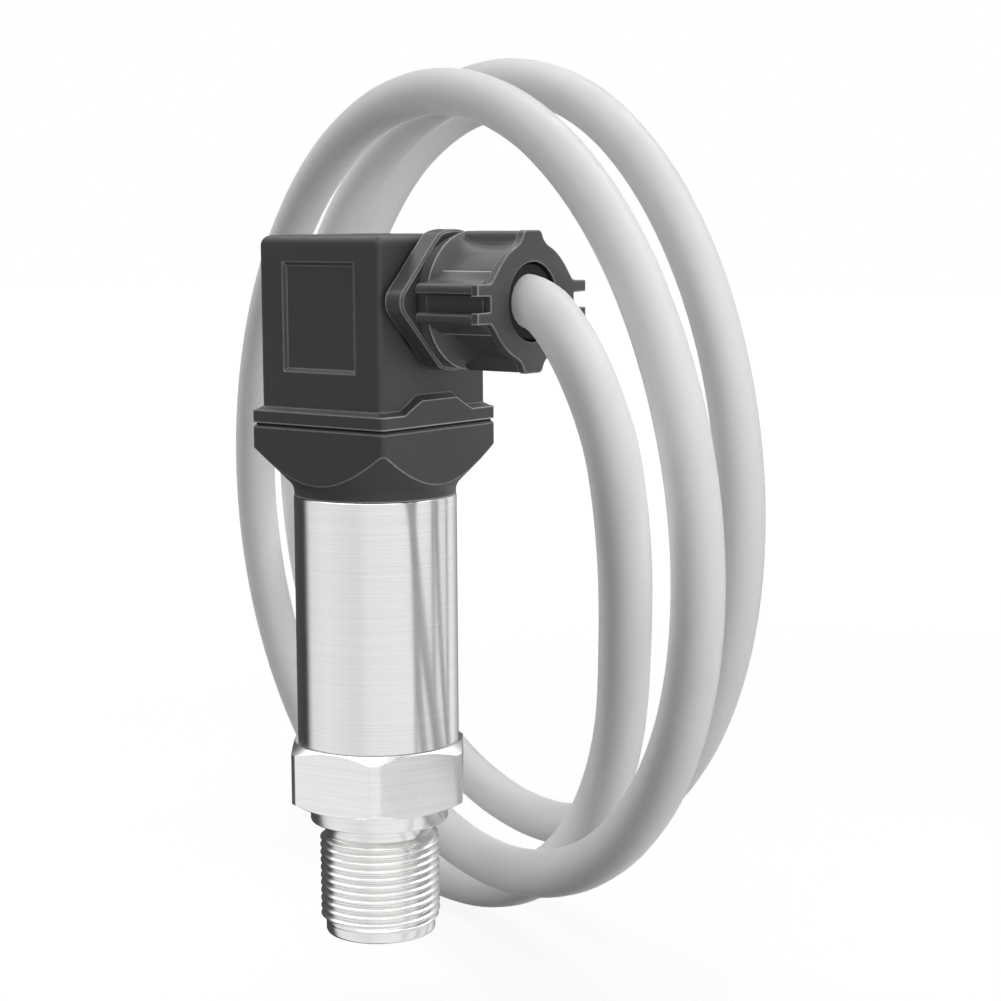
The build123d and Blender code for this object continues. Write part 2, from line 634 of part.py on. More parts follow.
def end_cores(tip, direction):
    """Three bare cores that spread and droop a little, and the ferrules on their ends."""
    plane = Plane(origin=tip, z_dir=direction)
    cores, ferrules = [], []
    for turn in (90, 210, 330):
        c, s = math.cos(math.radians(turn)), math.sin(math.radians(turn))
        near = plane.from_local_coords(Vector(1.7 * c, 1.7 * s, 0))
        bend = plane.from_local_coords(Vector(1.7 * c, 1.7 * s, 4))
        far = plane.from_local_coords(Vector(2.6 * c, 2.6 * s, END_CORE_LENGTH)) - Vector(0, 0, END_DROOP)
        cores.append(bent_wire([tuple(near), tuple(bend), tuple(far)], CORE_R))
        ferrules.append(Plane(origin=far, z_dir=far - bend) * extrude(Circle(FERRULE_R), FERRULE_LENGTH))
    return cores, ferrules


def write(name, shape):
    solids = shape if isinstance(shape, list) else [shape]
    export_step(Compound(children=[s for part in solids for s in part.solids()]), f"parts/{name}.step")


os.makedirs("parts", exist_ok=True)
lead, turns, loose_end, loose_direction = cable_parts()
cores, ferrules = end_cores(loose_end, loose_direction)
nodes = {
    "process_fitting": process_fitting(),
    "sleeve": sleeve(),
    "cell_seal": o_ring(CELL_SEAL_R, CELL_SEAT + SEAL_HALF),
    "sensing_cell": sensing_cell(),
    "cell_ring": cell_ring(),
    "board_holder": board_holder(),
    "circuit_board": circuit_board(),
    "board_parts": board_parts(),
    "cell_leads": cell_leads(),
    "base_leads": base_leads(),
    "sleeve_seal": o_ring(SLEEVE_BORE_R - SEAL_HALF, SEAL_GROOVE_Z),
    "connector_base": connector_base(),
    "base_pins": base_pins(),
    "earth_pin": earth_pin(),
    "flange_gasket": flange_gasket(),
    "plug_housing": plug_housing(),
    "terminal_block": terminal_block(),
    "plug_sockets": plug_sockets(),
    "terminal_screws": terminal_screws(),
    "fixing_screw": fixing_screw(),
    "screw_seal": screw_seal(),
    "gland_body_seal": gland_body_seal(),
    "gland_body": gland_body(),
    "gland_seal": gland_seal(),
    "clamp_ring": clamp_ring(),
    "gland_nut": gland_nut(),
    "cable_lead": lead,
    "cable_turns": turns,
    "end_ferrules": ferrules,
}
for colour, inner_core, end_core in zip(("brown", "blue", "black"), wire_cores(), cores):
    nodes[f"{colour}_core"] = inner_core
    nodes[f"{colour}_end"] = end_core
for node, shape in nodes.items():
    write(node, shape)
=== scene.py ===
import bmesh
import bpy
import math
from mathutils import Matrix, Vector

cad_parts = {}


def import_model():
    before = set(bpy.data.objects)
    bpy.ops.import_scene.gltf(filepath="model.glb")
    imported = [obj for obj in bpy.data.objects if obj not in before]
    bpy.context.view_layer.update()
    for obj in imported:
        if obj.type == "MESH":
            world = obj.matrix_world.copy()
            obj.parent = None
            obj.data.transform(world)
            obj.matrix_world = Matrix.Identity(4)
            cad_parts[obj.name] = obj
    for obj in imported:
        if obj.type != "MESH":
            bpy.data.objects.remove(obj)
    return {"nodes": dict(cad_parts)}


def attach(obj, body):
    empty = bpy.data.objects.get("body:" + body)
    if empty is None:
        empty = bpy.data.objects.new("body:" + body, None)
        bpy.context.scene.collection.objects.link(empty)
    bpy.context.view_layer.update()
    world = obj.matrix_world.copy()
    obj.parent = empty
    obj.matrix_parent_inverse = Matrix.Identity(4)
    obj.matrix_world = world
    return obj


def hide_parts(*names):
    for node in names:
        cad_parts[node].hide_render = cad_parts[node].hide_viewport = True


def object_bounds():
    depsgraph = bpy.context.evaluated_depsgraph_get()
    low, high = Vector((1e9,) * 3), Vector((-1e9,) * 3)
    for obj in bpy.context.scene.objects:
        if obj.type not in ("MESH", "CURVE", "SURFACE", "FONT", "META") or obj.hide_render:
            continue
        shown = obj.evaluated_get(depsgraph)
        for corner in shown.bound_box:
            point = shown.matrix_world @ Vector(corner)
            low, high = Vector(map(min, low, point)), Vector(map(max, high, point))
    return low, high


# The pressure sensor with its materials, lights and camera, in the part's own frame. Lengths are in
# millimetres, and MM turns them into Blender's metres. Materials, floor and lamps use metres and say so.

MM = 0.001
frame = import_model()
nodes = frame["nodes"]
cad_low, cad_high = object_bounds()
BODY = "sensor"

# Camera, from the photograph
CAMERA_PLACE = (245.17, -278.94, 117.86)
CAMERA_YAW = 38.132
CAMERA_PITCH = 7.295
CAMERA_ROLL = -0.36
CAMERA_LENS = 81.58

# Fitting
THREAD_R = 10.0
THREAD_LENGTH = 14.4
THREAD_TURNS = 11
PILOT_R = 9.15
PILOT_LENGTH = 2.2
UNDERCUT_R = 8.9
COLLAR_R = 11.5
COLLAR_BOTTOM = 17.1
HEX_FLATS = 28.0
HEX_BOTTOM = 20.2
HEX_TOP = 30.6
HEX_CORNER_ANGLE = 8.1
HEX_CORNER_R = 15.75       # the corners are turned off by a little here, as the photograph shows
HEX_CHAMFER_R = 13.9
HEX_CHAMFER_ANGLE = 30.0
PORT_R = 3.0
PORT_END = 6.8
CHANNEL_R = 1.5
CELL_SEAT = 24.5
CELL_POCKET_R = 9.75
SPIGOT_R = 12.15
SPIGOT_TOP = 36.0

# Sleeve
SLEEVE_R = 13.4
SLEEVE_BORE_R = 12.2
SLEEVE_TOP = 71.8
SLEEVE_EDGE_R = 0.35

# Gland nut and the seal's lip, along the gland's axis, which runs in +X at the height GLAND_Z
GLAND_Z = 103.8
NUT_BACK = 17.65
NUT_BACK_R = 9.95
NUT_PLATE = 31.6
NUT_FRONT = 32.9
NUT_WEB = 2.7
NUT_BORE_R = 8.05
NUT_MOUTH_R = 6.15
LIP_R = 5.85
LIP_BACK = NUT_FRONT - NUT_WEB - 0.1
LIP_FRONT = 32.4
LIP_CLEARANCE = 0.1
RIB_BACK = 20.4

# Rounding of outer edges on the nodes that keep the solid's shape, and the painted highlight band on black
# edges
EDGE_ROUND = {"plug_housing": 0.18, "gland_body": 0.15, "connector_base": 0.2, "flange_gasket": 0.06}
EDGE_ROUND_ANGLE = 30.0
EDGE_HIGHLIGHT_WIDTH = 0.45

# Cable. The control points from inside the gland to the turns follow the cable's edges in the photograph.
CABLE_R = 4.1
CABLE_START = 20.5
CABLE_LEAD = [(CABLE_START, 0.0, GLAND_Z), (30.9, 1.2, 105.4), (45.0, -7.2, 99.5), (52.6, -7.8, 86.0),
              (54.2, -6.7, 73.8)]
CABLE_END = [(-92.7, 114.7, 126.6), (-80.7, 118.4, 138.1), (-67.2, 120.7, 142.6), (-55.5, 122.1, 141.6)]

# The turns: an upright, leaning ellipse that changes as it is run through. Each row has a value for every
# TURNS_PER_VALUE turns, and the values were fitted to the cable's course in the photograph. COIL_HEADING is
# the direction of "across" from +X, in degrees, and "behind" is at right angles to it.
TURNS = 2.5625
POINTS_PER_TURN = 16
TURNS_PER_VALUE = 0.92
COIL_HEADING = -24.8
COIL_MID_ACROSS = (-44.0, -19.5, -48.0, -70.0)
COIL_MID_HEIGHT = (58.5, 71.5, 70.0, 77.5)
COIL_HALF_WIDTH = (91.0, 79.5, 82.5, 70.5)
COIL_HALF_HEIGHT = (79.0, 69.0, 74.0, 75.5)
COIL_SKEW = (38.0, -14.0, -6.0, -17.5)
COIL_BEHIND = (12.5, 31.0, 37.0, 95.0)
COIL_SIDE_TILT = (8.0, -5.5, 4.0, 38.5)
COIL_UP_TILT = (-29.5, 0.5, 14.5, 3.5)


# Node helpers

class Shader:
    """A material's node tree with short calls for the nodes used here."""

    def __init__(self, name):
        self.material = bpy.data.materials.new(name)
        self.material.use_nodes = True
        self.tree = self.material.node_tree
        self.surface = self.tree.nodes["Principled BSDF"]
        self.place = self.tree.nodes.new("ShaderNodeTexCoord").outputs["Object"]

    def link(self, out, socket):
        self.tree.links.new(out, socket)

    def noise(self, scale, stretch=(1, 1, 1), detail=3.0, roughness=0.5):
        """Noise fixed to the piece, with scale features per metre."""
        mapping = self.tree.nodes.new("ShaderNodeMapping")
        mapping.inputs["Scale"].default_value = stretch
        self.link(self.place, mapping.inputs["Vector"])
        node = self.tree.nodes.new("ShaderNodeTexNoise")
        node.inputs["Scale"].default_value = scale
        node.inputs["Detail"].default_value = detail
        node.inputs["Roughness"].default_value = roughness
        self.link(mapping.outputs["Vector"], node.inputs["Vector"])
        return node.outputs["Fac"]

    def ramp(self, value, low, high, start=0.3, end=0.7):
        """value from start to end becomes a colour from low to high."""
        node = self.tree.nodes.new("ShaderNodeValToRGB")
        node.color_ramp.elements[0].position = start
        node.color_ramp.elements[0].color = (*low, 1)
        node.color_ramp.elements[1].position = end
        node.color_ramp.elements[1].color = (*high, 1)
        self.link(value, node.inputs["Fac"])
        return node.outputs["Color"]

    def span(self, value, low, high, start=0.3, end=0.7):
        """value from start to end becomes a number from low to high."""
        node = self.tree.nodes.new("ShaderNodeMapRange")
        node.inputs["From Min"].default_value = start
        node.inputs["From Max"].default_value = end
        node.inputs["To Min"].default_value = low
        node.inputs["To Max"].default_value = high
        self.link(value, node.inputs["Value"])
        return node.outputs["Result"]

    def tones(self, value, colour, vary):
        """The colour, darker and paler by the share vary as value changes."""
        low = tuple(c * (1 - vary) for c in colour)
        high = tuple(min(1.0, c * (1 + vary)) for c in colour)
        return self.ramp(value, low, high)

    def bump(self, height, distance, before=None):
        """A normal from height, which stands for up to distance in metres."""
        node = self.tree.nodes.new("ShaderNodeBump")
        node.inputs["Strength"].default_value = 1.0
        node.inputs["Distance"].default_value = distance
        self.link(height, node.inputs["Height"])
        if before is not None:
            self.link(before, node.inputs["Normal"])
        return node.outputs["Normal"]


def painted_edge_highlight_and_shade(s, colour, edge, reach):
    """The colour with a painted highlight along outer edges and painted shade deep in corners."""
    new = s.tree.nodes.new
    # Ambient occlusion: how enclosed a spot is, for the painted shade in corners and to keep the painted
    # highlight off inner edges
    near = new("ShaderNodeAmbientOcclusion")
    near.samples = 6
    near.inputs["Distance"].default_value = reach
    # The bevel normal against the flat normal marks the edges that get the painted highlight
    bevel = new("ShaderNodeBevel")
    bevel.samples = 6
    bevel.inputs["Radius"].default_value = EDGE_HIGHLIGHT_WIDTH * MM
    flat = new("ShaderNodeNewGeometry")
    turn = new("ShaderNodeVectorMath")
    turn.operation = "DOT_PRODUCT"
    s.link(bevel.outputs["Normal"], turn.inputs[0])
    s.link(flat.outputs["Normal"], turn.inputs[1])
    highlight_mask = new("ShaderNodeMath")
    highlight_mask.operation = "MULTIPLY"
    s.link(s.span(turn.outputs["Value"], 1.0, 0.0, start=0.85, end=0.995), highlight_mask.inputs[0])
    s.link(s.span(near.outputs["AO"], 0.0, 1.0, start=0.55, end=0.9), highlight_mask.inputs[1])
    # Painted shade: the colour darkens towards near black where a corner encloses it
    painted_shade = new("ShaderNodeMix")
    painted_shade.data_type = "RGBA"
    painted_shade.inputs["A"].default_value = (0.006, 0.006, 0.006, 1)
    s.link(s.span(near.outputs["AO"], 0.0, 1.0, start=0.05, end=0.85), painted_shade.inputs["Factor"])
    s.link(colour, painted_shade.inputs["B"])
    # Painted highlight: a pale grey laid over the colour along outer edges
    pale = new("ShaderNodeMix")
    pale.data_type = "RGBA"
    pale.inputs["B"].default_value = (edge, edge, edge, 1)
    s.link(highlight_mask.outputs[0], pale.inputs["Factor"])
    s.link(painted_shade.outputs["Result"], pale.inputs["A"])
    return pale.outputs["Result"]


def moulded(name, colour, vary=0.18, rough=0.5, grain=0.000018, grain_scale=2600.0, specular=0.5, edge=0.0,
            reach=0.007):
    """Moulded plastic: slow tone changes, a fine grain and uneven gloss. edge is the grey of the painted
    highlight along its edges, and reach is how far the painted shade in its corners reaches. Lengths are in
    metres."""
    s = Shader(name)
    tone = s.tones(s.noise(60.0, detail=4.0), colour, vary)
    # When edge is given, a painted highlight along edges and painted shade in corners go into the colour
    if edge:
        tone = painted_edge_highlight_and_shade(s, tone, edge, reach)
    s.link(tone, s.surface.inputs["Base Color"])
    s.link(s.span(s.noise(240.0, detail=5.0), rough - 0.05, rough + 0.07), s.surface.inputs["Roughness"])
    s.surface.inputs["Specular IOR Level"].default_value = specular
    fine = s.bump(s.noise(grain_scale, detail=2.0), grain)
    broad = s.bump(s.noise(180.0, detail=2.0), grain * 1.5, before=fine)
    s.link(broad, s.surface.inputs["Normal"])
    return s.material


def turned_steel(name, colour, rough, lines=9000.0, depth=0.000002, vary=0.05, anisotropic=0.7):
    """Steel with fine lines running round the Z axis, from a lathe or a brush. lines is how many there are
    to a metre, and depth is in metres."""
    s = Shader(name)
    ring = s.noise(1.0, stretch=(35, 35, lines), detail=3.0, roughness=0.6)
    wide = s.noise(1.0, stretch=(22, 22, lines / 7), detail=2.0)
    cloud = s.noise(110.0, detail=4.0)
    s.link(s.tones(ring, colour, vary), s.surface.inputs["Base Color"])
    s.link(s.span(cloud, rough - 0.03, rough + 0.05), s.surface.inputs["Roughness"])
    s.surface.inputs["Metallic"].default_value = 1.0
    s.surface.inputs["Anisotropic"].default_value = anisotropic
    s.surface.inputs["Anisotropic Rotation"].default_value = 0.25
    tangent = s.tree.nodes.new("ShaderNodeTangent")
    tangent.direction_type = "RADIAL"
    tangent.axis = "Z"
    s.link(tangent.outputs["Tangent"], s.surface.inputs["Tangent"])
    normal = s.bump(wide, depth, before=s.bump(ring, depth))
    s.link(normal, s.surface.inputs["Normal"])
    return s.material


def metal(name, colour, rough=0.3, vary=0.08):
    """Plain metal with slight tarnish."""
    s = Shader(name)
    s.link(s.tones(s.noise(300.0, detail=5.0), colour, vary), s.surface.inputs["Base Color"])
    s.link(s.span(s.noise(700.0, detail=4.0), rough - 0.05, rough + 0.1), s.surface.inputs["Roughness"])
    s.surface.inputs["Metallic"].default_value = 1.0
    s.link(s.bump(s.noise(1500.0, detail=3.0), 0.000005), s.surface.inputs["Normal"])
    return s.material


def board_material():
    """Green lacquered board with lighter tracks."""
    s = Shader("board_green")
    brick = s.tree.nodes.new("ShaderNodeTexBrick")
    brick.inputs["Color1"].default_value = (0.02, 0.16, 0.07, 1)
    brick.inputs["Color2"].default_value = (0.03, 0.20, 0.08, 1)
    brick.inputs["Mortar"].default_value = (0.09, 0.34, 0.14, 1)
    brick.inputs["Scale"].default_value = 300.0
    brick.inputs["Mortar Size"].default_value = 0.03
    s.link(s.place, brick.inputs["Vector"])
    s.link(brick.outputs["Color"], s.surface.inputs["Base Color"])
    s.link(s.span(s.noise(500.0), 0.28, 0.42), s.surface.inputs["Roughness"])
    return s.material


def jacket_material():
    """Extruded cable jacket: satin light grey, faint mottling and a fine pebbled skin."""
    s = Shader("jacket_grey")
    slow = s.noise(45.0, detail=3.0)
    s.link(s.ramp(slow, (0.62, 0.62, 0.62), (0.65, 0.65, 0.65)), s.surface.inputs["Base Color"])
    s.surface.inputs["Subsurface Weight"].default_value = 1.0
    s.surface.inputs["Subsurface Scale"].default_value = 0.005
    s.surface.inputs["Subsurface Radius"].default_value = (1.0, 1.0, 1.0)
    s.surface.inputs["Sheen Weight"].default_value = 0.6
    s.surface.inputs["Sheen Roughness"].default_value = 0.5
    s.link(s.span(s.noise(400.0, detail=4.0), 0.40, 0.50), s.surface.inputs["Roughness"])
    s.surface.inputs["Specular IOR Level"].default_value = 0.4
    fine = s.bump(s.noise(1900.0, detail=2.0), 0.000012)
    s.link(fine, s.surface.inputs["Normal"])
    return s.material


# Shape helpers

WELD_REACH = 1e-6          # metres


def made(name, points, faces, material, slot, body=BODY, sharp=35.0, bevel=0.0, segments=2):
    """A mesh piece from millimetre points, smooth except along edges sharper than the given angle."""
    mesh = bpy.data.meshes.new(name)
    mesh.from_pydata([Vector(p) * MM for p in points], [], faces)
    piece = bpy.data.objects.new(name, mesh)
    bpy.context.scene.collection.objects.link(piece)
    weld = piece.modifiers.new("weld", "WELD")
    weld.merge_threshold = WELD_REACH
    bake_modifiers(piece)
    mesh = piece.data
    fix_normals(mesh)
    mesh.shade_smooth()
    mesh.set_sharp_from_angle(angle=math.radians(sharp))
    if bevel:
        round_edges(piece, bevel, segments, sharp)
    mesh.materials.clear()
    mesh.materials.append(material)
    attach(piece, body)
    return piece


def bake_modifiers(piece):
    """The piece's mesh becomes what its modifiers make of it."""
    bpy.context.view_layer.update()
    graph = bpy.context.evaluated_depsgraph_get()
    mesh = bpy.data.meshes.new_from_object(piece.evaluated_get(graph))
    piece.modifiers.clear()
    piece.data = mesh


def fix_normals(mesh):
    work = bmesh.new()
    work.from_mesh(mesh)
    bmesh.ops.recalc_face_normals(work, faces=work.faces)
    work.to_mesh(mesh)
    work.free()


def round_edges(piece, width, segments=2, angle=35.0):
    bevel = piece.modifiers.new("round", "BEVEL")
    bevel.width = width * MM
    bevel.segments = segments
    bevel.limit_method = "ANGLE"
    bevel.angle_limit = math.radians(angle)
    bevel.harden_normals = True
    bevel.use_clamp_overlap = True


def columns_mesh(columns, closed=True):
    """Points and faces of a skin over columns of points that go once round, joined at the end if closed."""
    rows = len(columns[0])
    points = [p for column in columns for p in column]
    faces = []
    for i in range(len(columns) if closed else len(columns) - 1):
        j = (i + 1) % len(columns)
        for k in range(rows - 1):
            faces.append((i * rows + k, j * rows + k, j * rows + k + 1, i * rows + k + 1))
    return points, faces


def lathe(profile_at, steps, start=0.0):
    """Columns round the Z axis; profile_at(angle) gives a column's (radius, height) points."""
    columns = []
    for i in range(steps):
        angle = start + 2 * math.pi * i / steps
        columns.append([(r * math.cos(angle), r * math.sin(angle), z) for r, z in profile_at(angle)])
    return columns_mesh(columns)


def arc(centre, radius, start, end, steps):
    """Points of an arc, angles in degrees."""
    out = []
    for i in range(steps + 1):
        a = math.radians(start + (end - start) * i / steps)
        out.append((centre[0] + radius * math.cos(a), centre[1] + radius * math.sin(a)))
    return out


def circle(radius, steps):
    """Points of a full circle about the origin."""
    return [(radius * math.cos(2 * math.pi * i / steps), radius * math.sin(2 * math.pi * i / steps))
            for i in range(steps)]


# Materials

STEEL = turned_steel("steel_sleeve", (0.80, 0.80, 0.79), rough=0.20)
STEEL_CUT = turned_steel("steel_turned", (0.86, 0.86, 0.855), rough=0.26, lines=2600.0, anisotropic=0.3)
THREAD_STEEL = turned_steel("steel_thread", (0.84, 0.84, 0.83), rough=0.22, lines=5000.0, anisotropic=0.2)
# The black plastics below have a painted highlight along their edges, of the grey given as edge, and painted
# shade in corners, as far as reach
PLUG_BLACK = moulded("plug_black", (0.060, 0.060, 0.061), vary=0.06, rough=0.36, specular=0.17, edge=0.50)
BASE_BLACK = moulded("base_black", (0.060, 0.060, 0.061), vary=0.06, rough=0.36, grain=0.000014,
                     specular=0.17, edge=0.48)
NUT_BLACK = moulded("gland_black", (0.070, 0.070, 0.071), vary=0.06, rough=0.32, grain=0.000006,
                    specular=0.18, edge=0.55, reach=0.005)
RUBBER = moulded("rubber_black", (0.016, 0.016, 0.016), rough=0.68, grain=0.00001, specular=0.12)
JACKET = jacket_material()

NODE_MATERIALS = {
    "plug_housing": PLUG_BLACK,
    "gland_body": NUT_BLACK,
    "connector_base": BASE_BLACK,
    "gland_nut": NUT_BLACK,
    "flange_gasket": RUBBER,
    "gland_body_seal": RUBBER,
    "screw_seal": RUBBER,
    "gland_seal": RUBBER,
    "cell_seal": RUBBER,
    "sleeve_seal": RUBBER,
    "sleeve": STEEL,
    "process_fitting": STEEL_CUT,
    "terminal_block": moulded("insert_grey", (0.30, 0.30, 0.31), rough=0.5),
    "clamp_ring": NUT_BLACK,
    "board_holder": moulded("holder_plastic", (0.68, 0.66, 0.58), rough=0.5),
    "sensing_cell": moulded("ceramic_white", (0.84, 0.82, 0.77), vary=0.04, rough=0.35),
    "cell_ring": metal("ring_steel", (0.62, 0.62, 0.61), rough=0.32),
    "circuit_board": board_material(),
    "board_parts": moulded("chip_black", (0.05, 0.05, 0.055), rough=0.55),
    "cell_leads": moulded("lead_red", (0.50, 0.07, 0.05), rough=0.5),
    "base_leads": moulded("lead_orange", (0.60, 0.25, 0.06), rough=0.5),
    "base_pins": metal("tinned_blade", (0.74, 0.72, 0.66), rough=0.28),
    "earth_pin": metal("tinned_earth", (0.74, 0.72, 0.66), rough=0.28),
    "plug_sockets": metal("tinned_socket", (0.72, 0.70, 0.64), rough=0.3),
    "terminal_screws": metal("screw_zinc", (0.66, 0.66, 0.68), rough=0.33),
    "fixing_screw": metal("screw_steel", (0.68, 0.68, 0.69), rough=0.30),
    "end_ferrules": metal("ferrule_tin", (0.74, 0.74, 0.72), rough=0.3),
    "brown_core": moulded("core_brown", (0.20, 0.085, 0.035), rough=0.42),
    "blue_core": moulded("core_blue", (0.04, 0.13, 0.42), rough=0.42),
    "black_core": moulded("core_black", (0.025, 0.025, 0.026), rough=0.42),
    "brown_end": moulded("end_brown", (0.20, 0.085, 0.035), rough=0.42),
    "blue_end": moulded("end_blue", (0.04, 0.13, 0.42), rough=0.42),
    "black_end": moulded("end_black", (0.025, 0.025, 0.026), rough=0.42),
    "cable_lead": JACKET,
    "cable_turns": JACKET,
}


def dress_nodes():
    for name, material in NODE_MATERIALS.items():
        mesh = nodes[name].data
        mesh.materials.clear()
        mesh.materials.append(material)


# The cable

def coil_value(values, turn):
    """The value of one row at a place counted in turns, eased from one given value to the next."""
    place = turn / TURNS_PER_VALUE
    index = min(int(place), len(values) - 2)
    part = place - index
    eased = (part + part * part * (3 - 2 * part)) / 2
    return values[index] * (1 - eased) + values[index + 1] * eased


def coil_points():
    """Control points of the turns, from the gland's side to the loose end."""
    heading = math.radians(COIL_HEADING)
    points = []
    for step in range(round(TURNS * POINTS_PER_TURN) + 1):
        turn = step / POINTS_PER_TURN
        c, s = math.cos(2 * math.pi * turn), -math.sin(2 * math.pi * turn)
        across = (coil_value(COIL_MID_ACROSS, turn) + coil_value(COIL_HALF_WIDTH, turn) * c
                  + coil_value(COIL_SKEW, turn) * s)
        behind = (coil_value(COIL_BEHIND, turn) + coil_value(COIL_SIDE_TILT, turn) * c
                  + coil_value(COIL_UP_TILT, turn) * s)
        height = coil_value(COIL_MID_HEIGHT, turn) + coil_value(COIL_HALF_HEIGHT, turn) * s
        points.append((across * math.cos(heading) - behind * math.sin(heading),
                       across * math.sin(heading) + behind * math.cos(heading), height))
    return points


def cable():
    """The whole jacket, from inside the gland to the loose end, in one smooth curve."""
    curve = bpy.data.curves.new("cable", "CURVE")
    curve.dimensions = "3D"
    curve.resolution_u = 8
    curve.bevel_depth = CABLE_R * MM
    curve.bevel_resolution = 8
    curve.use_fill_caps = True
    line = curve.splines.new("NURBS")
    route = CABLE_LEAD + coil_points() + CABLE_END
    line.points.add(len(route) - 1)
    for point, place in zip(line.points, route):
        point.co = (*(Vector(place) * MM), 1.0)
    line.order_u = 3
    line.use_endpoint_u = True
    piece = bpy.data.objects.new("cable", curve)
    bpy.context.scene.collection.objects.link(piece)
    curve.materials.append(JACKET)
    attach(piece, BODY)
    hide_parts("cable_lead", "cable_turns")


# The steel fitting

THREAD_STEPS = 144
THREAD_BOTTOM = -0.5       # the ridges run out here at the pilot end and at THREAD_TOP at the undercut
THREAD_TOP = THREAD_LENGTH + 0.6
THREAD_LEAD = -0.3         # height at which the pilot end's cone starts
PILOT_SLOPE = 1.0          # how fast the crests rise from the pilot end, radius over height
UNDERCUT_SLOPE = 1.6
HEX_STEPS = 288
PITCH = THREAD_LENGTH / THREAD_TURNS
THREAD_DEPTH = 0.62 * PITCH
THREAD_FORM = [(0.00, 0.0), (0.10, 0.0), (0.15, 0.06), (0.42, 0.94), (0.47, 1.0), (0.63, 1.0),
               (0.68, 0.94), (0.95, 0.06)]   # part of the pitch, part of the depth below the crest


def thread_limit(z):
    """The largest radius the thread may have near its two ends."""
    lower = PILOT_R + max(0.0, z - THREAD_LEAD) * PILOT_SLOPE
    upper = UNDERCUT_R + max(0.0, THREAD_TOP - z) * UNDERCUT_SLOPE
    return min(THREAD_R, lower, upper)


def thread_profile(angle):
    """Port, pilot end, thread and collar at one angle. The small numbers are chamfers and rounded edges."""
    turn = angle / (2 * math.pi)
    end = -PILOT_LENGTH
    profile = [(CHANNEL_R, HEX_BOTTOM), (CHANNEL_R, PORT_END), (PORT_R, PORT_END), (PORT_R, end + 0.4),
               (PORT_R + 0.4, end), (PILOT_R - 0.5, end), (PILOT_R - 0.15, end + 0.15), (PILOT_R, end + 0.5)]
    for whole in range(-2, THREAD_TURNS + 2):
        for part, depth in THREAD_FORM:
            z = (whole + part + turn) * PITCH
            z = min(max(z, THREAD_BOTTOM), THREAD_TOP)
            profile.append((min(THREAD_R - depth * THREAD_DEPTH, thread_limit(z)), z))
    profile += [(UNDERCUT_R, COLLAR_BOTTOM - 0.2), (UNDERCUT_R + 0.2, COLLAR_BOTTOM),
                (COLLAR_R - 0.25, COLLAR_BOTTOM), (COLLAR_R - 0.07, COLLAR_BOTTOM + 0.07),
                (COLLAR_R, COLLAR_BOTTOM + 0.25), (COLLAR_R, HEX_BOTTOM), (CHANNEL_R, HEX_BOTTOM)]
    return profile


def hex_profile(angle):
    """Hexagon, spigot and cell pocket at one angle."""
    sector = math.radians(60)
    corner = math.radians(HEX_CORNER_ANGLE)
    off = (angle - corner) % sector - sector / 2
    flat = min(HEX_FLATS / 2 / math.cos(off), HEX_CORNER_R)
    drop = (flat - HEX_CHAMFER_R) * math.tan(math.radians(HEX_CHAMFER_ANGLE))
    return [(CHANNEL_R, CELL_SEAT), (CHANNEL_R, HEX_BOTTOM), (COLLAR_R - 0.5, HEX_BOTTOM),
            (HEX_CHAMFER_R, HEX_BOTTOM), (flat, HEX_BOTTOM + drop), (flat, HEX_TOP - drop),
            (HEX_CHAMFER_R, HEX_TOP), (SPIGOT_R, HEX_TOP), (SPIGOT_R, SPIGOT_TOP),
            (CELL_POCKET_R, SPIGOT_TOP), (CELL_POCKET_R, CELL_SEAT), (CHANNEL_R, CELL_SEAT)]


def thread_columns():
    """The helix closes on itself one pitch further up, so its last column is made apart and then welded."""
    columns = []
    for i in range(THREAD_STEPS + 1):
        angle = 2 * math.pi * i / THREAD_STEPS
        columns.append([(r * math.cos(angle), r * math.sin(angle), z) for r, z in thread_profile(angle)])
    return columns_mesh(columns, closed=False)


def fitting():
    thread = made("fitting_thread", *thread_columns(), THREAD_STEEL, "stainless_fitting", sharp=50.0)
    shape = lathe(hex_profile, HEX_STEPS, math.radians(HEX_CORNER_ANGLE))
    hexagon = made("fitting_hexagon", *shape, STEEL_CUT, "stainless_fitting", sharp=22.0, bevel=0.16,
                   segments=3)
    for piece in (thread, hexagon):
        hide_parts("process_fitting")


# The sleeve

SLEEVE_STEPS = 192
SLEEVE_GAP = 0.02          # between the hexagon and the sleeve
SLEEVE_CHAMFER = 0.15


def sleeve_profile(angle):
    """The tube's wall, the same at every angle."""
    bottom = HEX_TOP + SLEEVE_GAP
    return [(SLEEVE_BORE_R, bottom), (SLEEVE_R - SLEEVE_CHAMFER, bottom), (SLEEVE_R, bottom + SLEEVE_CHAMFER),
            *[(SLEEVE_R, HEX_TOP + 1 + 4.0 * i) for i in range(10)],
            *arc((SLEEVE_R - SLEEVE_EDGE_R, SLEEVE_TOP - SLEEVE_EDGE_R), SLEEVE_EDGE_R, 0, 90, 4),
            (SLEEVE_BORE_R, SLEEVE_TOP), (SLEEVE_BORE_R, bottom)]


def sleeve():
    tube = made("sleeve_tube", *lathe(sleeve_profile, SLEEVE_STEPS), STEEL, "stainless_sleeve", sharp=40.0)
    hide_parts("sleeve")


# The gland nut

# The front plate's edge without its ribs, from the middle of the upper lobe to the middle between the ribs
PLATE_EDGE = [(0.0, 11.0), (1.7, 11.0), (2.15, 10.75), (2.4, 10.3), (2.7, 9.7), (3.2, 9.1), (4.0, 8.6),
              (4.9, 8.2), (6.0, 7.6), (6.9, 6.9), (7.8, 6.05), (8.6, 5.2), (9.4, 4.2), (10.0, 3.5),
              (10.5, 2.9), (10.8, 2.0), (10.9, 1.0), (10.9, 0.0)]
